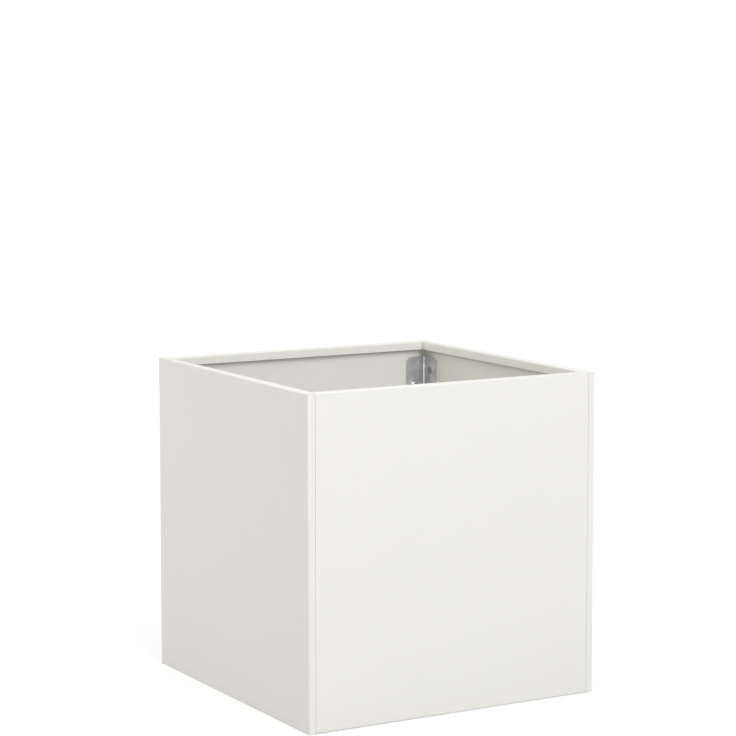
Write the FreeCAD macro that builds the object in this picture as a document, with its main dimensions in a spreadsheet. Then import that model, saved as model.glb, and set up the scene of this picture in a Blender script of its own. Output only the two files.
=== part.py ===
import FreeCAD, Part
import math
import os
import Sketcher

# Square steel planter, flat-packed: two side panels wrap round the corners, and a front and a
# back panel sit flush between them. An angle bracket is spot-welded to the side panel behind
# each seam, and takes the weld studs of the front or back panel. Origin: centre of the
# footprint, on the ground. X to the right, Y to the back, Z up.

doc = FreeCAD.newDocument("steel_planter")
dims = doc.addObject("Spreadsheet::Sheet", "dims")

DRIVING_DIMENSIONS = (
    ("width", "400", "outside, left to right"),
    ("depth", "400", "outside, front to back"),
    ("height", "400", "ground to the top of the rim"),
    ("sheet", "1.2", "thickness of the panels, the base plate and its ribs"),
    ("bend_radius", "1", "inside radius of every fold in that sheet"),
    ("corner_return", "9.5", "side panel seen on the front and back faces"),
    ("rim_width", "12", "top flange, outer face to the lip's inner face"),
    ("rim_lip", "11", "from the top down to the lip's edge"),
    ("foot_width", "20", "bottom flange, from the outer face inwards"),
    ("seam_gap", "0.3", "between a side panel and the front or back panel"),
    ("tab_gap", "0.1", "between the corner tab of the rim and the return below it"),
    ("relief_slit", "0.3", "slit that ends a fold beside a corner"),
    ("overrun", "2", "how far a cutting shape runs past what it cuts"),
    ("bracket_sheet", "1.5", "thickness of a corner bracket"),
    ("bracket_bend", "1.5", "inside radius of a corner bracket"),
    ("bracket_leg", "30", "width of each leg of a corner bracket"),
    ("bracket_corner", "5", "cut off the free corners of a leg"),
    ("bracket_clearance", "0.3", "bracket end above the base plate"),
    ("stud_inset", "19", "stud axis from the inner corner of the planter"),
    ("stud_pitch", "140", "between the three studs of a corner"),
    ("stud_diameter", "5", "weld stud"),
    ("stud_length", "10", "from the panel's inner face to the stud's end"),
    ("stud_hole", "6", "diameter of a bracket's hole"),
    ("washer_bore", "5.3", "inside diameter"),
    ("washer_diameter", "10", "outside diameter"),
    ("washer_thickness", "1", "along the stud"),
    ("nut_flats", "8", "across flats"),
    ("nut_height", "4.7", "along the stud"),
    ("nut_clearance", "0.05", "between the stud and the wall of the nut's bore"),
    ("base_clearance", "0.2", "base plate's edge to the start of a panel's fold"),
    ("base_height", "20", "base plate, from its edges' feet to the deck's top"),
    ("drain_diameter", "16", "drain holes"),
    ("drain_offset", "125", "outer drain holes from the middle, both ways"),
    ("rib_crown", "24", "outside width of a rib's channel"),
    ("rib_brim", "12", "from the channel's wall to the brim's edge"),
    ("rib_offset", "66", "rib's middle from the middle of the base"),
    ("rib_clearance", "0.5", "rib's end to the fold of the base plate's edge"),
)
for row, (alias, value, meaning) in enumerate(DRIVING_DIMENSIONS, start=1):
    dims.set(f"A{row}", meaning)
    dims.set(f"B{row}", value)
    dims.setAlias(f"B{row}", alias)
doc.recompute()

# Lengths that several pieces share, as formulas of the sheet's cells
HALF_WIDTH = "dims.width / 2"
HALF_DEPTH = "dims.depth / 2"
HALF_SEAM = "dims.seam_gap / 2"
FOLD = "(dims.sheet + dims.bend_radius)"
BASE_TOP = "(dims.sheet + dims.base_height)"


def new_body(label):
    body = doc.addObject("PartDesign::Body", label)
    body.Label = label
    return body


def origin_plane(body, role):
    return next(part for part in body.Origin.OriginFeatures if part.Role == role)


def sketch_on(body, role, name, offset=None):
    """A sketch on one of the body's origin planes, moved along the plane's normal."""
    sketch = body.newObject("Sketcher::SketchObject", name)
    sketch.AttachmentSupport = [(origin_plane(body, role), "")]
    sketch.MapMode = "FlatFace"
    if offset is not None:
        sketch.setExpression("AttachmentOffset.Base.z", offset)
    return sketch


def constrain(sketch, name, kind, geometry, formula, *point):
    """A dimension of the sketch that follows a formula of the sheet's cells."""
    value = sketch.evalExpression(formula)
    index = sketch.addConstraint(Sketcher.Constraint(kind, geometry, *point, value))
    sketch.renameConstraint(index, name)
    sketch.setExpression("Constraints." + name, formula)


def arc_between(start, end, radius, turn):
    """The shorter arc from start to end: turn is 1 for counterclockwise, -1 for clockwise."""
    chord = end - start
    rise = math.sqrt(radius**2 - (chord.Length / 2) ** 2)
    left = FreeCAD.Vector(-chord.y, chord.x, 0).normalize()
    centre = (start + end) / 2 + left * rise * turn
    first, last = (start, end) if turn > 0 else (end, start)
    angles = [math.atan2(point.y - centre.y, point.x - centre.x) for point in (first, last)]
    circle = Part.Circle(centre, FreeCAD.Vector(0, 0, 1), radius)
    return Part.ArcOfCircle(circle, *angles)


def draw_outline(sketch, corners):
    """A closed outline. A corner is (x, y), and the edge that leaves it is straight, or it is
    (x, y, radius, turn), and the edge is an arc. x, y and radius are formulas."""
    points = [FreeCAD.Vector(*map(sketch.evalExpression, corner[:2]), 0) for corner in corners]
    first = sketch.GeometryCount
    for index, corner in enumerate(corners):
        start, end = points[index], points[(index + 1) % len(points)]
        if len(corner) == 2:
            sketch.addGeometry(Part.LineSegment(start, end))
        else:
            radius, turn = corner[2:]
            sketch.addGeometry(arc_between(start, end, sketch.evalExpression(radius), turn))
    for index, corner in enumerate(corners):
        edge = first + index
        following = (index + 1) % len(corners)
        clockwise = len(corner) > 2 and corner[3] < 0
        next_clockwise = len(corners[following]) > 2 and corners[following][3] < 0
        leaves_at, ends_at = (2, 1) if clockwise else (1, 2)
        next_leaves_at = 2 if next_clockwise else 1
        sketch.addConstraint(
            Sketcher.Constraint("Coincident", edge, ends_at, first + following, next_leaves_at)
        )
        constrain(sketch, f"x{edge}", "DistanceX", edge, corner[0], leaves_at)
        constrain(sketch, f"y{edge}", "DistanceY", edge, corner[1], leaves_at)
        if len(corner) > 2:
            constrain(sketch, f"r{edge}", "Radius", edge, corner[2])


def draw_circle(sketch, x, y, diameter):
    centre = FreeCAD.Vector(sketch.evalExpression(x), sketch.evalExpression(y), 0)
    radius = sketch.evalExpression(diameter) / 2
    edge = sketch.addGeometry(Part.Circle(centre, FreeCAD.Vector(0, 0, 1), radius))
    constrain(sketch, f"x{edge}", "DistanceX", edge, x, 3)
    constrain(sketch, f"y{edge}", "DistanceY", edge, y, 3)
    constrain(sketch, f"d{edge}", "Diameter", edge, diameter)


def draw_hexagon(sketch, x, y, flats):
    """A hexagon with a corner up, by its width across flats."""
    side = f"{flats} / 2"
    low = f"{flats} / sqrt(12)"
    high = f"{flats} / sqrt(3)"
    draw_outline(
        sketch,
        [
            (f"{x} + {side}", f"{y} - {low}"),
            (f"{x} + {side}", f"{y} + {low}"),
            (x, f"{y} + {high}"),
            (f"{x} - {side}", f"{y} + {low}"),
            (f"{x} - {side}", f"{y} - {low}"),
            (x, f"{y} - {high}"),
        ],
    )


def pad(body, sketch, name, length, side="One side", reverse=False):
    feature = body.newObject("PartDesign::Pad", name)
    feature.Profile = sketch
    feature.SideType = side
    feature.Reversed = reverse
    feature.setExpression("Length", length)
    doc.recompute()
    return feature


def pocket(body, sketch, name, length=None, side="One side"):
    """A cut against the sketch's normal, or both ways, and right through if it has no length."""
    feature = body.newObject("PartDesign::Pocket", name)
    feature.Profile = sketch
    feature.SideType = side
    if length is None:
        feature.Type = "ThroughAll"
    else:
        feature.setExpression("Length", length)
    before = feature.BaseFeature.Shape.Volume
    doc.recompute()
    if feature.Shape.Volume >= before:
        raise RuntimeError(f"{body.Label}: {name} cuts nothing")
    return feature


def mirror(body, features, role, name):
    feature = body.newObject("PartDesign::Mirrored", name)
    feature.Originals = features
    feature.MirrorPlane = (origin_plane(body, role), [""])
    body.Tip = feature
    doc.recompute()
    return feature


def draw_folded_wall(sketch, half):
    """Section of every panel: foot flange, wall, rim flange and lip, folded from one sheet.
    The wall's outer face is at minus half, and the sketch's second axis is up."""
    face = f"-{half}"
    inside = f"{face} + dims.sheet"
    fold_end = f"{face} + {FOLD}"
    rim_edge = f"{face} + dims.rim_width"
    lip_back = f"{rim_edge} - dims.sheet"
    rim_fold = f"{rim_edge} - {FOLD}"
    foot_edge = f"{face} + dims.foot_width"
    top = "dims.height"
    under_rim = f"{top} - dims.sheet"
    fold_top = f"{top} - {FOLD}"
    lip_end = f"{top} - dims.rim_lip"
    draw_outline(
        sketch,
        [
            (foot_edge, "0"),
            (fold_end, "0", FOLD, -1),
            (face, FOLD),
            (face, fold_top, FOLD, -1),
            (fold_end, top),
            (rim_fold, top, FOLD, -1),
            (rim_edge, fold_top),
            (rim_edge, lip_end),
            (lip_back, lip_end),
            (lip_back, fold_top, "dims.bend_radius", 1),
            (rim_fold, under_rim),
            (fold_end, under_rim, "dims.bend_radius", 1),
            (inside, fold_top),
            (inside, FOLD, "dims.bend_radius", 1),
            (fold_end, "dims.sheet"),
            (foot_edge, "dims.sheet"),
        ],
    )


# The two kinds of panel meet at a seam beside each corner. In plan, the seam runs in from the
# face along the return's edge, and then at 45 degrees to the inner corner of the flanges.
RETURN_EDGE = f"-{HALF_WIDTH} + dims.corner_return - {HALF_SEAM}"
PANEL_EDGE = f"-{HALF_WIDTH} + dims.corner_return + {HALF_SEAM}"
MITRE_START = f"-{HALF_DEPTH} + dims.corner_return"


def side_panel(label, turn):
    """The left panel, or the right one turned half round: wall and folds in one section, then
    what stands at its front end, which is mirrored to the back end."""
    body = new_body(label)
    fold_x = f"-{HALF_WIDTH} + {FOLD}"
    fold_y = f"-{HALF_DEPTH} + {FOLD}"
    slit_y = f"{fold_y} + dims.relief_slit"
    fold_top = f"dims.height - {FOLD}"

    section = sketch_on(body, "XZ_Plane", "wall_section")
    draw_folded_wall(section, HALF_WIDTH)
    pad(body, section, "folded_wall", f"2 * ({HALF_DEPTH} - {FOLD})", "Symmetric")

    # The folds of rim and foot stop short of the corner
    slits = sketch_on(body, "YZ_Plane", "relief_slits")
    for low, high in ((fold_top, "dims.height + dims.overrun"), ("-dims.overrun", FOLD)):
        draw_outline(
            slits,
            [
                (f"{fold_y} - dims.overrun", low),
                (slit_y, low),
                (slit_y, high),
                (f"{fold_y} - dims.overrun", high),
            ],
        )
    fold_ends = pocket(body, slits, "fold_ends", side="Symmetric")

    # The corner fold and the narrow return on the front face
    plan = sketch_on(body, "XY_Plane", "corner_plan")
    draw_outline(
        plan,
        [
            (f"-{HALF_WIDTH}", fold_y, FOLD, 1),
            (fold_x, f"-{HALF_DEPTH}"),
            (RETURN_EDGE, f"-{HALF_DEPTH}"),
            (RETURN_EDGE, f"-{HALF_DEPTH} + dims.sheet"),
            (fold_x, f"-{HALF_DEPTH} + dims.sheet", "dims.bend_radius", -1),
            (f"-{HALF_WIDTH} + dims.sheet", fold_y),
        ],
    )
    corner = pad(body, plan, "corner_return", "dims.height - dims.sheet - dims.tab_gap")

    # The rim flange runs on over the corner as a flat tab with the corner's own rounding
    tab_plan = sketch_on(body, "XY_Plane", "tab_plan", "dims.height - dims.sheet")
    draw_outline(
        tab_plan,
        [
            (fold_x, slit_y),
            (fold_x, fold_y),
            (f"-{HALF_WIDTH}", fold_y, FOLD, 1),
            (fold_x, f"-{HALF_DEPTH}"),
            (RETURN_EDGE, f"-{HALF_DEPTH}"),
            (RETURN_EDGE, slit_y),
        ],
    )
    tab = pad(body, tab_plan, "corner_tab", "dims.sheet")

    cuts = []
    for name, plane, width, depth in (
        ("rim_mitre", "dims.height", "dims.rim_width", "dims.rim_lip + dims.overrun"),
        ("foot_mitre", "dims.sheet", "dims.foot_width", "dims.sheet + dims.overrun"),
    ):
        reach = f"{width} - dims.corner_return + dims.overrun"
        mitre = sketch_on(body, "XY_Plane", name + "_plan", plane)
        draw_outline(
            mitre,
            [
                (RETURN_EDGE, f"-{HALF_DEPTH} - dims.overrun"),
                (f"{RETURN_EDGE} + {reach}", f"-{HALF_DEPTH} - dims.overrun"),
                (f"{RETURN_EDGE} + {reach}", f"{MITRE_START} + {reach}"),
                (RETURN_EDGE, MITRE_START),
            ],
        )
        cuts.append(pocket(body, mitre, name, depth))

    mirror(body, [fold_ends, corner, tab, *cuts], "XZ_Plane", "back_end")
    body.Placement.Rotation = FreeCAD.Rotation(FreeCAD.Vector(0, 0, 1), turn)
    return body


def end_panel(label, turn):
    """The front panel, or the back one turned half round: one folded section, with straight
    ends beside the returns and mitred flanges."""
    body = new_body(label)
    section = sketch_on(body, "YZ_Plane", "wall_section")
    draw_folded_wall(section, HALF_DEPTH)
    pad(body, section, "folded_wall", f"-2 * ({PANEL_EDGE})", "Symmetric")

    cuts = []
    for name, plane, width, depth in (
        ("rim_mitre", "dims.height", "dims.rim_width", "dims.rim_lip + dims.overrun"),
        ("foot_mitre", "dims.sheet", "dims.foot_width", "dims.sheet + dims.overrun"),
    ):
        reach = f"{width} - dims.corner_return + dims.overrun"
        mitre = sketch_on(body, "XY_Plane", name + "_plan", plane)
        draw_outline(
            mitre,
            [
                (PANEL_EDGE, MITRE_START),
                (f"{PANEL_EDGE} + {reach}", f"{MITRE_START} + {reach}"),
                (f"{PANEL_EDGE} - dims.overrun", f"{MITRE_START} + {reach}"),
                (f"{PANEL_EDGE} - dims.overrun", MITRE_START),
            ],
        )
        cuts.append(pocket(body, mitre, name, depth))

    mirror(body, cuts, "YZ_Plane", "right_end")
    body.Placement.Rotation = FreeCAD.Rotation(FreeCAD.Vector(0, 0, 1), turn)
    return body


# The hardware of the front left corner, and the places of its studs
INNER_X = f"-{HALF_WIDTH} + dims.sheet"
INNER_Y = f"-{HALF_DEPTH} + dims.sheet"
STUD_X = f"{INNER_X} + dims.stud_inset"
STUD_HEIGHTS = (
    "dims.height / 2 - dims.stud_pitch",
    "dims.height / 2",
    "dims.height / 2 + dims.stud_pitch",
)
BRACKET_START = f"({BASE_TOP} + dims.bracket_clearance)"
WASHER_SEAT = f"{HALF_DEPTH} - dims.sheet - dims.bracket_sheet"


def corner_bracket(label):
    """An angle on the inner faces of two panels, behind their seam: one leg is spot-welded to
    the side panel, and the other is drilled for the studs."""
    body = new_body(label)
    outer = "(dims.bracket_bend + dims.bracket_sheet)"
    leg_end_x = f"{INNER_X} + dims.bracket_leg"
    leg_end_y = f"{INNER_Y} + dims.bracket_leg"
    plan = sketch_on(body, "XY_Plane", "angle_plan", BRACKET_START)
    draw_outline(
        plan,
        [
            (INNER_X, leg_end_y),
            (INNER_X, f"{INNER_Y} + {outer}", outer, 1),
            (f"{INNER_X} + {outer}", INNER_Y),
            (leg_end_x, INNER_Y),
            (leg_end_x, f"{INNER_Y} + dims.bracket_sheet"),
            (f"{INNER_X} + {outer}", f"{INNER_Y} + dims.bracket_sheet", "dims.bracket_bend", -1),
            (f"{INNER_X} + dims.bracket_sheet", f"{INNER_Y} + {outer}"),
            (f"{INNER_X} + dims.bracket_sheet", leg_end_y),
        ],
    )
    pad(body, plan, "angle", f"dims.height - 2 * {BRACKET_START}")

    holes = sketch_on(body, "XZ_Plane", "hole_plan")
    for height in STUD_HEIGHTS:
        draw_circle(holes, STUD_X, height, "dims.stud_hole")
    drilled = pocket(body, holes, "stud_holes", side="Symmetric")

    # Cut the free corners off both legs, at the short level edges that cross the sheet there
    ends = dims.evalExpression(leg_end_x), dims.evalExpression(leg_end_y)
    corner_edges = [
        f"Edge{number}"
        for number, edge in enumerate(drilled.Shape.Edges, start=1)
        if crosses_leg_end(edge, *ends)
    ]
    cut_corners = body.newObject("PartDesign::Chamfer", "cut_corners")
    cut_corners.Base = (drilled, corner_edges)
    cut_corners.setExpression("Size", "dims.bracket_corner")
    doc.recompute()
    return body


def crosses_leg_end(edge, leg_end_x, leg_end_y):
    """True for the edges, level and straight, that lie at the free end of a leg."""
    straight = edge.Curve.TypeId == "Part::GeomLine"
    level = math.isclose(edge.Vertexes[0].Z, edge.Vertexes[-1].Z)
    middle = edge.CenterOfMass
    return straight and level and (
        math.isclose(middle.x, leg_end_x) or math.isclose(middle.y, leg_end_y)
    )


def corner_studs(label):
    body = new_body(label)
    circles = sketch_on(body, "XZ_Plane", "stud_plan", f"{HALF_DEPTH} - dims.sheet")
    for height in STUD_HEIGHTS:
        draw_circle(circles, STUD_X, height, "dims.stud_diameter")
    pad(body, circles, "studs", "dims.stud_length", reverse=True)
    return body


def corner_washers(label):
    body = new_body(label)
    rings = sketch_on(body, "XZ_Plane", "washer_plan", WASHER_SEAT)
    for height in STUD_HEIGHTS:
        draw_circle(rings, STUD_X, height, "dims.washer_diameter")
        draw_circle(rings, STUD_X, height, "dims.washer_bore")
    pad(body, rings, "washers", "dims.washer_thickness", reverse=True)
    return body


def corner_nuts(label):
    body = new_body(label)
    seat = f"{WASHER_SEAT} - dims.washer_thickness"
    hexagons = sketch_on(body, "XZ_Plane", "nut_plan", seat)
    for height in STUD_HEIGHTS:
        draw_hexagon(hexagons, STUD_X, height, "dims.nut_flats")
        draw_circle(hexagons, STUD_X, height, "dims.stud_diameter + 2 * dims.nut_clearance")
    pad(body, hexagons, "nuts", "dims.nut_height", reverse=True)
    return body


def corner_hardware(corner, axis, rise):
    """Bracket and fasteners of one corner. The four corners have the same parts: those of the
    front left are turned half round an axis through the planter's middle, and rise is what
    that turn adds to the height."""
    bodies = [
        corner_bracket("corner_bracket_" + corner),
        corner_studs("studs_" + corner),
        corner_washers("washers_" + corner),
        corner_nuts("nuts_" + corner),
    ]
    for body in bodies:
        if axis is not None:
            body.Placement.Rotation = FreeCAD.Rotation(FreeCAD.Vector(*axis), 180)
        body.setExpression("Placement.Base.z", rise)
    return bodies


def base_edge(half):
    """Outer face of the base plate's folded edge: just inside the fold of the panel's foot."""
    return f"({half} - {FOLD} - dims.base_clearance)"


def base_plate():
    """A tray turned upside down: its folded edges stand on the foot flanges and lift the deck,
    so that water runs out through the drain holes. The corners are left open as relief."""
    body = new_body("base_plate")
    for name, role, half, other in (
        ("side_edges", "XZ_Plane", HALF_WIDTH, HALF_DEPTH),
        ("end_edges", "YZ_Plane", HALF_DEPTH, HALF_WIDTH),
    ):
        face = base_edge(half)
        inside = f"{face} - dims.sheet"
        fold_end = f"{face} - {FOLD}"
        fold_top = f"{BASE_TOP} - {FOLD}"
        underside = f"{BASE_TOP} - dims.sheet"
        section = sketch_on(body, role, name + "_section")
        draw_outline(
            section,
            [
                (f"-{face}", "dims.sheet"),
                (f"-{face}", fold_top, FOLD, -1),
                (f"-({fold_end})", BASE_TOP),
                (fold_end, BASE_TOP, FOLD, -1),
                (face, fold_top),
                (face, "dims.sheet"),
                (inside, "dims.sheet"),
                (inside, fold_top, "dims.bend_radius", 1),
                (fold_end, underside),
                (f"-({fold_end})", underside, "dims.bend_radius", 1),
                (f"-({inside})", fold_top),
                (f"-({inside})", "dims.sheet"),
            ],
        )
        pad(body, section, name, f"2 * ({base_edge(other)} - {FOLD})", "Symmetric")

    holes = sketch_on(body, "XY_Plane", "drain_plan", BASE_TOP)
    draw_circle(holes, "0", "0", "dims.drain_diameter")
    for x in ("-dims.drain_offset", "dims.drain_offset"):
        for y in ("-dims.drain_offset", "dims.drain_offset"):
            draw_circle(holes, x, y, "dims.drain_diameter")
    pocket(body, holes, "drain_holes")
    return body


def base_rib(label, place):
    """A hat section spot-welded under the deck by its brims, with its crown on the front and
    back foot flanges."""
    body = new_body(label)
    wall = "dims.rib_crown / 2"
    inside = f"{wall} - dims.sheet"
    crown_fold = f"{wall} - {FOLD}"
    brim_fold = f"{wall} + dims.bend_radius"
    brim_edge = f"{wall} + dims.rib_brim"
    low = "dims.sheet"
    high = f"{BASE_TOP} - dims.sheet"
    low_fold = f"{low} + {FOLD}"
    high_fold = f"{high} - {FOLD}"
    section = sketch_on(body, "XZ_Plane", "hat_section")
    draw_outline(
        section,
        [
            (f"-({brim_edge})", high),
            (f"-({brim_fold})", high, FOLD, -1),
            (f"-({inside})", high_fold),
            (f"-({inside})", low_fold, "dims.bend_radius", 1),
            (f"-({crown_fold})", f"{low} + dims.sheet"),
            (crown_fold, f"{low} + dims.sheet", "dims.bend_radius", 1),
            (inside, low_fold),
            (inside, high_fold, FOLD, -1),
            (brim_fold, high),
            (brim_edge, high),
            (brim_edge, f"{high} - dims.sheet"),
            (brim_fold, f"{high} - dims.sheet", "dims.bend_radius", 1),
            (wall, high_fold),
            (wall, low_fold, FOLD, -1),
            (crown_fold, low),
            (f"-({crown_fold})", low, FOLD, -1),
            (f"-({wall})", low_fold),
            (f"-({wall})", high_fold, "dims.bend_radius", 1),
            (f"-({brim_fold})", f"{high} - dims.sheet"),
            (f"-({brim_edge})", f"{high} - dims.sheet"),
        ],
    )
    clear_half = f"{base_edge(HALF_DEPTH)} - {FOLD} - dims.rib_clearance"
    pad(body, section, "hat", f"2 * ({clear_half})", "Symmetric")
    body.setExpression("Placement.Base.x", place)
    return body


pieces = [
    side_panel("left_side_panel", 0),
    side_panel("right_side_panel", 180),
    end_panel("front_panel", 0),
    end_panel("back_panel", 180),
    *corner_hardware("front_left", None, "0"),
    *corner_hardware("front_right", (0, 1, 0), "dims.height"),
    *corner_hardware("back_left", (1, 0, 0), "dims.height"),
    *corner_hardware("back_right", (0, 0, 1), "0"),
    base_plate(),
    base_rib("base_rib_left", "-dims.rib_offset"),
    base_rib("base_rib_right", "dims.rib_offset"),
]
doc.recompute()

for item in doc.Objects:
    if "Invalid" in item.State or "Error" in item.State:
        raise RuntimeError(f"{item.Label} is {item.State}")
for piece in pieces:
    if piece.Shape.isNull() or not piece.Shape.isValid():
        raise RuntimeError(f"{piece.Label} has no valid shape")

os.makedirs("parts", exist_ok=True)
for piece in pieces:
    piece.Shape.exportStep(os.path.join("parts", piece.Label + ".step"))
    box = piece.Shape.BoundBox
    corners = (box.XMin, box.YMin, box.ZMin, box.XMax, box.YMax, box.ZMax)
    print(piece.Label, len(piece.Shape.Solids), "solids", *(f"{value:.2f}" for value in corners))
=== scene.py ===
import math

import bmesh
import bpy
from mathutils import Matrix, Vector


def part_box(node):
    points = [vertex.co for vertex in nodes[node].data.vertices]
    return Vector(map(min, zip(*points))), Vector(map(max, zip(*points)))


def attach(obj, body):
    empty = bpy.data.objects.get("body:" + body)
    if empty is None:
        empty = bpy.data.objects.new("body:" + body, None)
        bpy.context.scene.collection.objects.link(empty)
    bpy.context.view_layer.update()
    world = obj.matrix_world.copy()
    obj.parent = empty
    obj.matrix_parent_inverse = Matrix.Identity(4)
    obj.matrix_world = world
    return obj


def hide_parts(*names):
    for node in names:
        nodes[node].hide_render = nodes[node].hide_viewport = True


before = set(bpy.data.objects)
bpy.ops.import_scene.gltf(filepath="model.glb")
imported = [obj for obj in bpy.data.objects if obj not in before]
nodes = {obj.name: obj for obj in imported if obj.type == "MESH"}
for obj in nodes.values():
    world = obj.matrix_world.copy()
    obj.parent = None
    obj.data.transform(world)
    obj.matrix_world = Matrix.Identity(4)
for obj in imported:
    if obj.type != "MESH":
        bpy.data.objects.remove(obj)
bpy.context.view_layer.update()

# The view of the photograph: a long lens a little above the planter, 30 degrees to the left of
# its front face. A small shift of the lens keeps the verticals nearly upright, as they are in
# the photograph. Places are in metres, turns in radians, and the lens in millimetres.
CAMERA_PLACE = (-1.5284, -2.638, 0.7764)
CAMERA_TURN = math.radians(-30)
CAMERA_TILT = 0.1093
CAMERA_LENS = 120
CAMERA_SENSOR = 36
CAMERA_SHIFT = -0.05

camera = bpy.data.objects.new("camera", bpy.data.cameras.new("camera"))
camera.location = CAMERA_PLACE
camera.rotation_euler = (math.pi / 2 - CAMERA_TILT, 0, CAMERA_TURN)
camera.data.sensor_width = CAMERA_SENSOR
camera.data.lens = CAMERA_LENS
camera.data.shift_y = CAMERA_SHIFT
bpy.context.collection.objects.link(camera)
bpy.context.scene.camera = camera
bpy.context.scene.view_settings.view_transform = "Standard"

# A pale room lights the planter from all sides, and shows as a white backdrop. The main lamp
# stands before the front panel, a weaker and warmer one beyond the left side panel, and a third
# hangs over the open top. A lamp has a place, a power in watts and a colour.
WHITE = (1, 1, 1, 1)
ROOM_STRENGTH = 0.6
BACKDROP_STRENGTH = 1
LAMP_SIZE = 2
LAMP_AIM = Vector((0, 0, 0.2))
LAMPS = {
    "main_lamp": (Vector((-0.1, -3, 2)), 58, (0.96, 0.978, 1)),
    "side_lamp": (Vector((-2.7, 1.3, 1.6)), 25, (1, 0.972, 0.9)),
    "top_lamp": (Vector((0.2, 0.4, 3.2)), 14, (1, 1, 1)),
}


def add_node(tree, kind, **sockets):
    """A shader node with some of its inputs set. An input's name has _ for a space."""
    node = tree.nodes.new("ShaderNode" + kind)
    for name, value in sockets.items():
        node.inputs[name.replace("_", " ")].default_value = value
    return node


def seen_directly(tree):
    """1 for the camera's rays, and for what metal or glass mirrors or lets through."""
    path = add_node(tree, "LightPath")
    mirrored = add_node(tree, "Math")
    mirrored.operation = "MAXIMUM"
    tree.links.new(path.outputs["Is Glossy Ray"], mirrored.inputs[0])
    tree.links.new(path.outputs["Is Transmission Ray"], mirrored.inputs[1])
    seen = add_node(tree, "Math")
    seen.operation = "MAXIMUM"
    tree.links.new(path.outputs["Is Camera Ray"], seen.inputs[0])
    tree.links.new(mirrored.outputs[0], seen.inputs[1])
    return seen.outputs[0]


room = bpy.data.worlds.new("pale_room")
room.use_nodes = True
tree = room.node_tree
light = tree.nodes["Background"]
light.inputs["Color"].default_value = WHITE
light.inputs["Strength"].default_value = ROOM_STRENGTH
backdrop = add_node(tree, "Background", Color=WHITE, Strength=BACKDROP_STRENGTH)
either = add_node(tree, "MixShader")
tree.links.new(seen_directly(tree), either.inputs[0])
tree.links.new(light.outputs[0], either.inputs[1])
tree.links.new(backdrop.outputs[0], either.inputs[2])
tree.links.new(either.outputs[0], tree.nodes["World Output"].inputs["Surface"])
bpy.context.scene.world = room

for name, (place, power, colour) in LAMPS.items():
    lamp = bpy.data.objects.new(name, bpy.data.lights.new(name, "AREA"))
    lamp.data.shape = "DISK"
    lamp.data.size = LAMP_SIZE
    lamp.data.energy = power
    lamp.data.color = colour
    lamp.location = place
    lamp.rotation_euler = (LAMP_AIM - place).to_track_quat("-Z", "Y").to_euler()
    bpy.context.collection.objects.link(lamp)

# A plain matt floor. Lit, it shows white like the backdrop, and only the planter's own shadow
# shows on it. Its glow, by the distance from its middle in metres, makes up for the weaker
# light far out, and ends under the planter. The planter gets a plain pale floor's light.
FLOOR_HALF = 12
FLOOR_GREY = (0.6, 0.6, 0.6, 1)
SHADOW_GREY = (0.34, 0.34, 0.345, 1)
FLOOR_GLOW = ((0.179, 0), (0.18, 0.68), (0.5, 0.72), (1, 0.8))


def grey_ramp(tree, stops):
    """A ramp of greys. Each stop is a place along the ramp and its value."""
    ramp = add_node(tree, "ValToRGB")
    elements = ramp.color_ramp.elements
    elements.remove(elements[1])
    for number, (position, value) in enumerate(stops):
        element = elements.new(position) if number else elements[0]
        element.position = position
        element.color = (value, value, value, 1)
    return ramp


bm = bmesh.new()
bmesh.ops.create_grid(bm, x_segments=1, y_segments=1, size=FLOOR_HALF)
floor = bpy.data.objects.new("floor", bpy.data.meshes.new("floor"))
bm.to_mesh(floor.data)
bm.free()
bpy.context.collection.objects.link(floor)

pale_floor = bpy.data.materials.new("pale_floor")
pale_floor.use_nodes = True
tree = pale_floor.node_tree
tree.nodes.remove(tree.nodes["Principled BSDF"])
matt = add_node(tree, "BsdfDiffuse", Color=FLOOR_GREY)
shadowed = add_node(tree, "BsdfDiffuse", Color=SHADOW_GREY)
offset = add_node(tree, "VectorMath")
offset.operation = "ABSOLUTE"
sides = add_node(tree, "SeparateXYZ")
distance = add_node(tree, "Math")
distance.operation = "MAXIMUM"
strength = grey_ramp(tree, FLOOR_GLOW)
glow = add_node(tree, "Emission")
shown = add_node(tree, "AddShader")
either = add_node(tree, "MixShader")
tree.links.new(add_node(tree, "TexCoord").outputs["Object"], offset.inputs[0])
tree.links.new(offset.outputs[0], sides.inputs[0])
tree.links.new(sides.outputs["X"], distance.inputs[0])
tree.links.new(sides.outputs["Y"], distance.inputs[1])
tree.links.new(distance.outputs[0], strength.inputs["Fac"])
tree.links.new(strength.outputs["Color"], glow.inputs["Strength"])
tree.links.new(shadowed.outputs[0], shown.inputs[0])
tree.links.new(glow.outputs[0], shown.inputs[1])
tree.links.new(seen_directly(tree), either.inputs[0])
tree.links.new(matt.outputs[0], either.inputs[1])
tree.links.new(shown.outputs[0], either.inputs[2])
tree.links.new(either.outputs[0], tree.nodes["Material Output"].inputs["Surface"])
floor.data.materials.append(pale_floor)

# The four walls: 1.2 mm cold-rolled sheet, laser-cut and folded, with a mitred rim, then
# powder-coated in satin off-white. The coat's film rounds the cut edges of the sheet.
OFF_WHITE = (0.83, 0.815, 0.766)
TONE_SPREAD = 0.006
CLOUD_SCALE = 9
PEEL_SCALE = 420
PEEL_DEPTH = 0.00006
PORE_SCALE = 1900
PORE_DEPTH = 0.000008
COAT_ROUGHNESS = (0.36, 0.46)
NOISE_MIDDLE = (0.3, 0.7)
FILM_ROUNDING = 0.00012
FLAT_WITHIN = math.radians(0.5)
CUT_EDGE_TURN = math.radians(35)
MERGE_WITHIN = 0.000002


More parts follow.
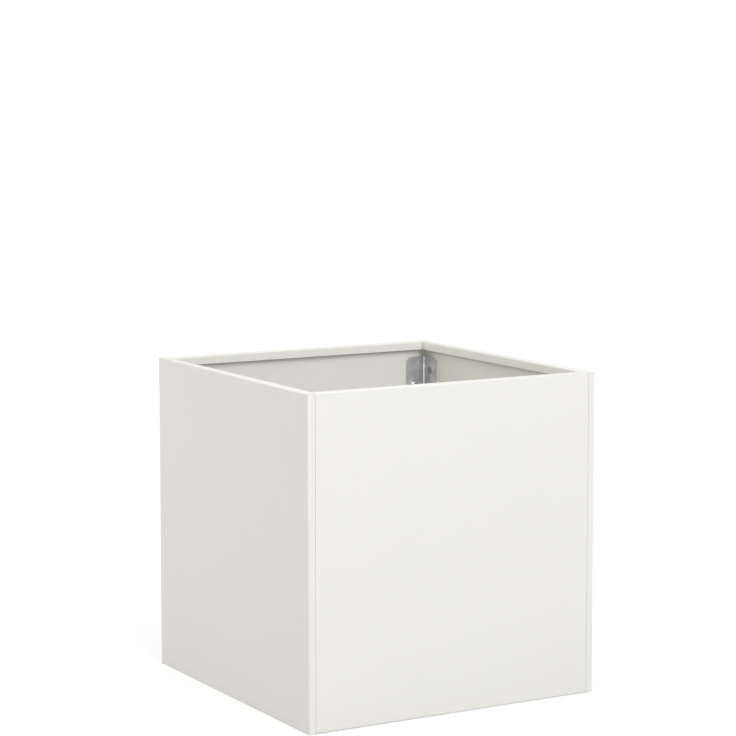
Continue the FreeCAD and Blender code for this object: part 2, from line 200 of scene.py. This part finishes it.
def noise_gloss(tree, noise, roughness):
    """The shader's roughness, from the middle part of a noise's values."""
    gloss = add_node(tree, "MapRange")
    gloss.inputs["From Min"].default_value, gloss.inputs["From Max"].default_value = NOISE_MIDDLE
    gloss.inputs["To Min"].default_value, gloss.inputs["To Max"].default_value = roughness
    tree.links.new(noise.outputs["Fac"], gloss.inputs["Value"])
    tree.links.new(gloss.outputs["Result"], tree.nodes["Principled BSDF"].inputs["Roughness"])


def powder_coat(name, colour):
    """Satin powder coat: an even tone, a fine orange peel, and finer pores that vary its gloss."""
    material = bpy.data.materials.new(name)
    material.use_nodes = True
    tree = material.node_tree
    link = tree.links.new
    shader = tree.nodes["Principled BSDF"]
    place = add_node(tree, "TexCoord").outputs["Object"]

    film = add_node(tree, "TexNoise", Scale=CLOUD_SCALE, Detail=3)
    tone = add_node(tree, "Mix")
    tone.data_type = "RGBA"
    tone.inputs["A"].default_value = (*(part * (1 - TONE_SPREAD) for part in colour), 1)
    tone.inputs["B"].default_value = (*(part * (1 + TONE_SPREAD) for part in colour), 1)
    link(place, film.inputs["Vector"])
    link(film.outputs["Fac"], tone.inputs["Factor"])
    link(tone.outputs["Result"], shader.inputs["Base Color"])

    peel = add_node(tree, "TexNoise", Scale=PEEL_SCALE, Detail=1.5)
    pores = add_node(tree, "TexNoise", Scale=PORE_SCALE, Detail=2)
    waves = add_node(tree, "Bump", Strength=1, Distance=PEEL_DEPTH)
    pitted = add_node(tree, "Bump", Strength=1, Distance=PORE_DEPTH)
    link(place, peel.inputs["Vector"])
    link(place, pores.inputs["Vector"])
    link(peel.outputs["Fac"], waves.inputs["Height"])
    link(pores.outputs["Fac"], pitted.inputs["Height"])
    link(waves.outputs["Normal"], pitted.inputs["Normal"])
    link(pitted.outputs["Normal"], shader.inputs["Normal"])
    noise_gloss(tree, pores, COAT_ROUGHNESS)
    return material


def round_cut_edges(piece, radius):
    """The edges that a blade or a laser left, rounded. Folds keep their own radius. Nothing is
    clamped, as one short edge at a fold would then narrow all of a piece's roundings."""
    piece.modifiers.new("closed_mesh", "WELD").merge_threshold = MERGE_WITHIN
    plain = piece.modifiers.new("plain_faces", "DECIMATE")
    plain.decimate_type = "DISSOLVE"
    plain.angle_limit = FLAT_WITHIN
    rounding = piece.modifiers.new("rounded_edges", "BEVEL")
    rounding.limit_method = "ANGLE"
    rounding.angle_limit = CUT_EDGE_TURN
    rounding.width = radius
    rounding.segments = 2
    rounding.use_clamp_overlap = False
    rounding.harden_normals = True


def finish_node(name, material, radius):
    """Gives a solid of the frame its material and rounds its cut edges."""
    piece = nodes[name]
    piece.data.materials.clear()
    piece.data.materials.append(material)
    round_cut_edges(piece, radius)


panel_coat = powder_coat("off_white_coat", OFF_WHITE)
for name in ("left_side_panel", "right_side_panel", "front_panel", "back_panel"):
    finish_node(name, panel_coat, FILM_ROUNDING)

# The four corner brackets: 1.5 mm galvanised sheet, punched and folded. One leg is spot-welded
# to the side panel, and each weld leaves a pressed ring with a burnt halo.
CORNERS = ("front_left", "front_right", "back_left", "back_right")
ZINC_SHEET = ((0.56, 0.57, 0.58, 1), (0.72, 0.73, 0.74, 1))
ZINC_METALLIC = 0.95
ZINC_ROUGHNESS = (0.34, 0.56)
SPANGLE_SCALE = 110
SPANGLE_DEPTH = 0.00005
FEATHER_SCALE = 260
FEATHER_REACH = 0.004
BURNT_ZINC = (0.2, 0.17, 0.14, 1)
HALO = ((0, 0.35), (0.38, 0.45), (0.52, 0.9), (1, 0))
BRACKET_SHEET = 0.0015
PUNCHED_ROUNDING = 0.00015
WELD_PITCH = 0.08
WELD_ROWS = (-2, -1, 0, 1, 2)
RING_RADIUS = 0.0029
RING_WIDTH = 0.0011
RING_HEIGHT = 0.00012
RING_STEPS = 32
SMOOTH_WITHIN = math.radians(30)


def galvanised_sheet(name, leg_middle, middle_height):
    """Zinc spangle: crystals about 9 mm across, each with a tone and a gloss of its own. The row
    of welds is leg_middle from the planter's middle, and its middle weld at middle_height."""
    material = bpy.data.materials.new(name)
    material.use_nodes = True
    tree = material.node_tree
    link = tree.links.new
    shader = tree.nodes["Principled BSDF"]
    shader.inputs["Metallic"].default_value = ZINC_METALLIC
    place = add_node(tree, "TexCoord").outputs["Object"]

    feather = add_node(tree, "TexNoise", Scale=FEATHER_SCALE, Detail=3)
    strayed = add_node(tree, "VectorMath")
    strayed.operation = "MULTIPLY_ADD"
    strayed.inputs[1].default_value = (FEATHER_REACH, FEATHER_REACH, FEATHER_REACH)
    crystals = add_node(tree, "TexVoronoi", Scale=SPANGLE_SCALE)
    shade = add_node(tree, "SeparateColor")
    link(place, feather.inputs["Vector"])
    link(feather.outputs["Color"], strayed.inputs[0])
    link(place, strayed.inputs[2])
    link(strayed.outputs[0], crystals.inputs["Vector"])
    link(crystals.outputs["Color"], shade.inputs[0])

    zinc = add_node(tree, "Mix")
    zinc.data_type = "RGBA"
    zinc.inputs["A"].default_value, zinc.inputs["B"].default_value = ZINC_SHEET
    gloss = add_node(tree, "MapRange")
    gloss.inputs["To Min"].default_value, gloss.inputs["To Max"].default_value = ZINC_ROUGHNESS
    relief = add_node(tree, "Bump", Strength=0.6, Distance=SPANGLE_DEPTH)
    link(shade.outputs["Red"], zinc.inputs["Factor"])
    link(shade.outputs["Green"], gloss.inputs["Value"])
    link(gloss.outputs["Result"], shader.inputs["Roughness"])
    link(crystals.outputs["Distance"], relief.inputs["Height"])
    link(relief.outputs["Normal"], shader.inputs["Normal"])

    # The halo follows the distance from the nearest weld, as a share of the ring's diameter
    parts = add_node(tree, "SeparateXYZ")
    above = add_node(tree, "Math")
    above.operation = "SUBTRACT"
    above.inputs[1].default_value = middle_height
    from_row = add_node(tree, "Math")
    from_row.operation = "PINGPONG"
    from_row.inputs[1].default_value = WELD_PITCH / 2
    depth = add_node(tree, "Math")
    depth.operation = "ABSOLUTE"
    from_middle = add_node(tree, "Math")
    from_middle.operation = "SUBTRACT"
    from_middle.inputs[1].default_value = leg_middle
    joined = add_node(tree, "CombineXYZ")
    reach = add_node(tree, "VectorMath")
    reach.operation = "LENGTH"
    share = add_node(tree, "MapRange", From_Max=2 * RING_RADIUS)
    halo = grey_ramp(tree, HALO)
    burnt = add_node(tree, "Mix")
    burnt.data_type = "RGBA"
    burnt.inputs["B"].default_value = BURNT_ZINC
    link(place, parts.inputs[0])
    link(parts.outputs["Z"], above.inputs[0])
    link(above.outputs[0], from_row.inputs[0])
    link(parts.outputs["Y"], depth.inputs[0])
    link(depth.outputs[0], from_middle.inputs[0])
    link(from_row.outputs[0], joined.inputs["Z"])
    link(from_middle.outputs[0], joined.inputs["Y"])
    link(joined.outputs[0], reach.inputs[0])
    link(reach.outputs["Value"], share.inputs["Value"])
    link(share.outputs["Result"], halo.inputs["Fac"])
    link(zinc.outputs["Result"], burnt.inputs["A"])
    link(halo.outputs["Color"], burnt.inputs["Factor"])
    link(burnt.outputs["Result"], shader.inputs["Base Color"])
    return material


def add_shape(bm, shape, place):
    """Puts a closed shape at its place in bm, with its faces outwards."""
    bmesh.ops.recalc_face_normals(shape, faces=shape.faces)
    bmesh.ops.transform(shape, matrix=place, verts=shape.verts)
    mesh = bpy.data.meshes.new("shape")
    shape.to_mesh(mesh)
    shape.free()
    bm.from_mesh(mesh)
    bpy.data.meshes.remove(mesh)


def turned_ring(outline, steps):
    """A closed outline of (radius, height) points, turned once round the Z axis."""
    ring = bmesh.new()
    section = [ring.verts.new((x, 0, z)) for x, z in outline]
    edges = [ring.edges.new(pair) for pair in zip(section, section[1:] + section[:1])]
    bmesh.ops.spin(
        ring,
        geom=section + edges,
        axis=(0, 0, 1),
        angle=math.tau,
        steps=steps,
        use_merge=True,
    )
    return ring


def press_ring(bm, place):
    """The low rim that a welding tip pushes up, about the Z axis of place. Its foot is sunk a
    little in the sheet, so that no gap shows."""
    outline = (
        (RING_RADIUS - RING_WIDTH / 2, -RING_HEIGHT),
        (RING_RADIUS - RING_WIDTH / 6, RING_HEIGHT),
        (RING_RADIUS + RING_WIDTH / 6, RING_HEIGHT),
        (RING_RADIUS + RING_WIDTH / 2, -RING_HEIGHT),
    )
    add_shape(bm, turned_ring(outline, RING_STEPS), place)


def make_piece(name, bm, material):
    """The finished piece, riding on the planter. Its sharper turns stay sharp edges."""
    for face in bm.faces:
        face.smooth = True
    for edge in bm.edges:
        edge.smooth = edge.calc_face_angle(math.pi) < SMOOTH_WITHIN
    piece = bpy.data.objects.new(name, bpy.data.meshes.new(name))
    bm.to_mesh(piece.data)
    bm.free()
    piece.data.materials.append(material)
    bpy.context.collection.objects.link(piece)
    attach(piece, "root")
    return piece


bracket_low, bracket_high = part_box("corner_bracket_front_left")
bracket_middle = (bracket_low + bracket_high) / 2
bracket_zinc = galvanised_sheet("galvanised_sheet", -bracket_middle.y, bracket_middle.z)
for corner in CORNERS:
    finish_node("corner_bracket_" + corner, bracket_zinc, PUNCHED_ROUNDING)
    low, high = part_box("corner_bracket_" + corner)
    middle = (low + high) / 2
    inward = 1 if middle.x < 0 else -1
    face_x = (low.x if inward > 0 else high.x) + inward * BRACKET_SHEET
    bm = bmesh.new()
    for row in WELD_ROWS:
        spot = Matrix.Translation((face_x, middle.y, middle.z + row * WELD_PITCH))
        press_ring(bm, spot @ Matrix.Rotation(inward * math.pi / 2, 4, "Y"))
    make_piece("weld_rings_" + corner, bm, bracket_zinc)

# Three M5 weld studs at each corner, on the hidden face of the front or back panel: steel with
# a thin copper flash, a rolled thread and a short taper at the free end.
THREAD_PITCH = 0.0008
THREAD_DEPTH = 0.00046
THREAD_STEPS = 24
TIP_LENGTH = 0.0006
TIP_RADIUS_SHARE = 0.78
COPPER_FLASH = ((0.42, 0.29, 0.2, 1), (0.6, 0.43, 0.31, 1))
FLASH_ROUGHNESS = (0.38, 0.55)
FLASH_GRAIN = 2600
GRAIN_TO_CLOUDS = 8
GRAIN_DEPTH = 0.00001


def plain_metal(name, dark, light, roughness, grain_scale):
    """Plated metal with a fine grain, and a faint cloudiness eight times as coarse."""
    material = bpy.data.materials.new(name)
    material.use_nodes = True
    tree = material.node_tree
    link = tree.links.new
    shader = tree.nodes["Principled BSDF"]
    shader.inputs["Metallic"].default_value = 1
    place = add_node(tree, "TexCoord").outputs["Object"]
    clouds = add_node(tree, "TexNoise", Scale=grain_scale / GRAIN_TO_CLOUDS, Detail=4)
    grain = add_node(tree, "TexNoise", Scale=grain_scale, Detail=2)
    tone = add_node(tree, "Mix")
    tone.data_type = "RGBA"
    tone.inputs["A"].default_value = dark
    tone.inputs["B"].default_value = light
    scratches = add_node(tree, "Bump", Strength=0.5, Distance=GRAIN_DEPTH)
    for noise in (clouds, grain):
        link(place, noise.inputs["Vector"])
    link(clouds.outputs["Fac"], tone.inputs["Factor"])
    link(tone.outputs["Result"], shader.inputs["Base Color"])
    link(grain.outputs["Fac"], scratches.inputs["Height"])
    link(scratches.outputs["Normal"], shader.inputs["Normal"])
    noise_gloss(tree, grain, roughness)
    return material


def cut_off(bm, place, outwards):
    """Cuts away what lies beyond a plane and returns the edges of the open cut."""
    everything = bm.verts[:] + bm.edges[:] + bm.faces[:]
    cut = bmesh.ops.bisect_plane(
        bm,
        geom=everything,
        dist=MERGE_WITHIN,
        plane_co=place,
        plane_no=outwards,
        clear_outer=True,
    )
    return [item for item in cut["geom_cut"] if isinstance(item, bmesh.types.BMEdge)]


def threaded_stud(length, radius):
    """A helix of one thread section, wound past both ends, then cut to length and closed. The
    section has a metric thread's root, a quarter of the pitch wide, and crest, an eighth."""
    stud = bmesh.new()
    core = radius - THREAD_DEPTH
    section = [
        stud.verts.new((core, 0, -THREAD_PITCH)),
        stud.verts.new((core, 0, -THREAD_PITCH * 3 / 4)),
        stud.verts.new((radius, 0, -THREAD_PITCH * 7 / 16)),
        stud.verts.new((radius, 0, -THREAD_PITCH * 5 / 16)),
        stud.verts.new((core, 0, 0)),
    ]
    edges = [stud.edges.new(pair) for pair in zip(section, section[1:])]
    turns = math.ceil(length / THREAD_PITCH) + 1
    bmesh.ops.spin(
        stud,
        geom=section + edges,
        axis=(0, 0, 1),
        dvec=(0, 0, THREAD_PITCH / THREAD_STEPS),
        angle=turns * math.tau,
        steps=turns * THREAD_STEPS,
    )
    bmesh.ops.remove_doubles(stud, verts=stud.verts, dist=MERGE_WITHIN)
    foot = cut_off(stud, (0, 0, 0), (0, 0, -1))
    bmesh.ops.edgeloop_fill(stud, edges=foot)
    crown = cut_off(stud, (0, 0, length - TIP_LENGTH), (0, 0, 1))
    taper = bmesh.ops.extrude_edge_only(stud, edges=crown)["geom"]
    tip = [item for item in taper if isinstance(item, bmesh.types.BMVert)]
    for vert in tip:
        vert.co.xy = vert.co.xy.normalized() * radius * TIP_RADIUS_SHARE
        vert.co.z = length
    bmesh.ops.edgeloop_fill(stud, edges=[edge for edge in stud.edges if edge.is_boundary])
    return stud


def corner_fasteners(kind, corner):
    """Where a corner's three fasteners of one kind stand, their length and their width. Each
    place has its origin on the fastener's seat and its Z axis pointing into the planter."""
    stud_low, stud_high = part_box("studs_" + corner)
    middle = (stud_low + stud_high) / 2
    radius = (stud_high.x - stud_low.x) / 2
    pitch = (stud_high.z - stud_low.z) / 2 - radius
    low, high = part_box(kind + "_" + corner)
    inward = 1 if low.y < 0 else -1
    seat = low.y if inward > 0 else high.y
    turned = Matrix.Rotation(-inward * math.pi / 2, 4, "X")
    heights = (middle.z - pitch, middle.z, middle.z + pitch)
    places = [Matrix.Translation((middle.x, seat, height)) @ turned for height in heights]
    return places, high.y - low.y, high.x - low.x


stud_metal = plain_metal("copper_flashed_steel", *COPPER_FLASH, FLASH_ROUGHNESS, FLASH_GRAIN)
for corner in CORNERS:
    places, length, width = corner_fasteners("studs", corner)
    bm = bmesh.new()
    for place in places:
        add_shape(bm, threaded_stud(length, width / 2), place)
    piece = make_piece("threaded_studs_" + corner, bm, stud_metal)
    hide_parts("studs_" + corner)

# A plain M5 washer under each nut: punched from strip, tumbled until its edges are rounded, and
# zinc-plated. The nut presses it onto the bracket.
WASHER_BORE = 0.00265
WASHER_ROUNDING = 0.00018
TURNED_STEPS = 48
ZINC_PLATE = ((0.56, 0.58, 0.6, 1), (0.72, 0.735, 0.75, 1))
PLATE_ROUGHNESS = (0.24, 0.38)
PLATE_GRAIN = 1800


def punched_washer(thickness, radius, bore):
    """A turned rectangle with rounded rims. Its origin is the middle of its seat."""
    outline = ((bore, 0), (radius, 0), (radius, thickness), (bore, thickness))
    washer = turned_ring(outline, TURNED_STEPS)
    rims = [edge for edge in washer.edges if edge.calc_face_angle(0) > CUT_EDGE_TURN]
    bmesh.ops.bevel(
        washer,
        geom=rims,
        offset=WASHER_ROUNDING,
        affect="EDGES",
        segments=2,
        profile=0.5,
        material=-1,
    )
    return washer


fastener_metal = plain_metal("zinc_plate", *ZINC_PLATE, PLATE_ROUGHNESS, PLATE_GRAIN)
for corner in CORNERS:
    places, thickness, width = corner_fasteners("washers", corner)
    bm = bmesh.new()
    for place in places:
        add_shape(bm, punched_washer(thickness, width / 2, WASHER_BORE), place)
    piece = make_piece("punched_washers_" + corner, bm, fastener_metal)
    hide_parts("washers_" + corner)

# An M5 nut on each stud: turned from the bar with chamfered ends and a countersunk bore, then
# zinc-plated. A corner of the hexagon points up.
NUT_BORE = 0.00255
NUT_COUNTERSINK = 0.00295
COUNTERSINK_SLOPE = math.radians(45)
NUT_FACE_SHARE = 0.94
NUT_CHAMFER = math.radians(30)
BAR_SPARE = 1.02


def hexagon_nut(height, flats):
    """A turned blank, wider than the hexagon's corners, with six flats cut on it."""
    face = flats / 2 * NUT_FACE_SHARE
    blank = flats / math.sqrt(3) * BAR_SPARE
    drop = (blank - face) * math.tan(NUT_CHAMFER)
    sink = (NUT_COUNTERSINK - NUT_BORE) * math.tan(COUNTERSINK_SLOPE)
    lower = ((NUT_BORE, sink), (NUT_COUNTERSINK, 0), (face, 0), (blank, drop))
    upper = tuple((x, height - z) for x, z in reversed(lower))
    nut = turned_ring(lower + upper, TURNED_STEPS)
    for side in range(6):
        turn = side * math.tau / 6
        outwards = Vector((math.cos(turn), math.sin(turn), 0))
        bmesh.ops.edgeloop_fill(nut, edges=cut_off(nut, outwards * flats / 2, outwards))
    return nut


for corner in CORNERS:
    places, height, flats = corner_fasteners("nuts", corner)
    bm = bmesh.new()
    for place in places:
        add_shape(bm, hexagon_nut(height, flats), place)
    piece = make_piece("hexagon_nuts_" + corner, bm, fastener_metal)
    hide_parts("nuts_" + corner)

# The floor of the planter: a folded tray turned upside down, with five drain holes, and two
# ribs spot-welded under it. All three are coated like the walls, after the welding.
BASE_OFF_WHITE = (0.79, 0.776, 0.729)
RIB_WELD_PITCH = 0.07
BRIM_WELD_OFFSET = 0.0185

base_coat = powder_coat("base_off_white_coat", BASE_OFF_WHITE)
for name in ("base_plate", "base_rib_left", "base_rib_right"):
    finish_node(name, base_coat, FILM_ROUNDING)

deck_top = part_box("base_plate")[1].z
bm = bmesh.new()
for name in ("base_rib_left", "base_rib_right"):
    low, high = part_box(name)
    for brim in (-BRIM_WELD_OFFSET, BRIM_WELD_OFFSET):
        for row in WELD_ROWS:
            spot = ((low.x + high.x) / 2 + brim, row * RIB_WELD_PITCH, deck_top)
            press_ring(bm, Matrix.Translation(spot))
make_piece("weld_rings_deck", bm, base_coat)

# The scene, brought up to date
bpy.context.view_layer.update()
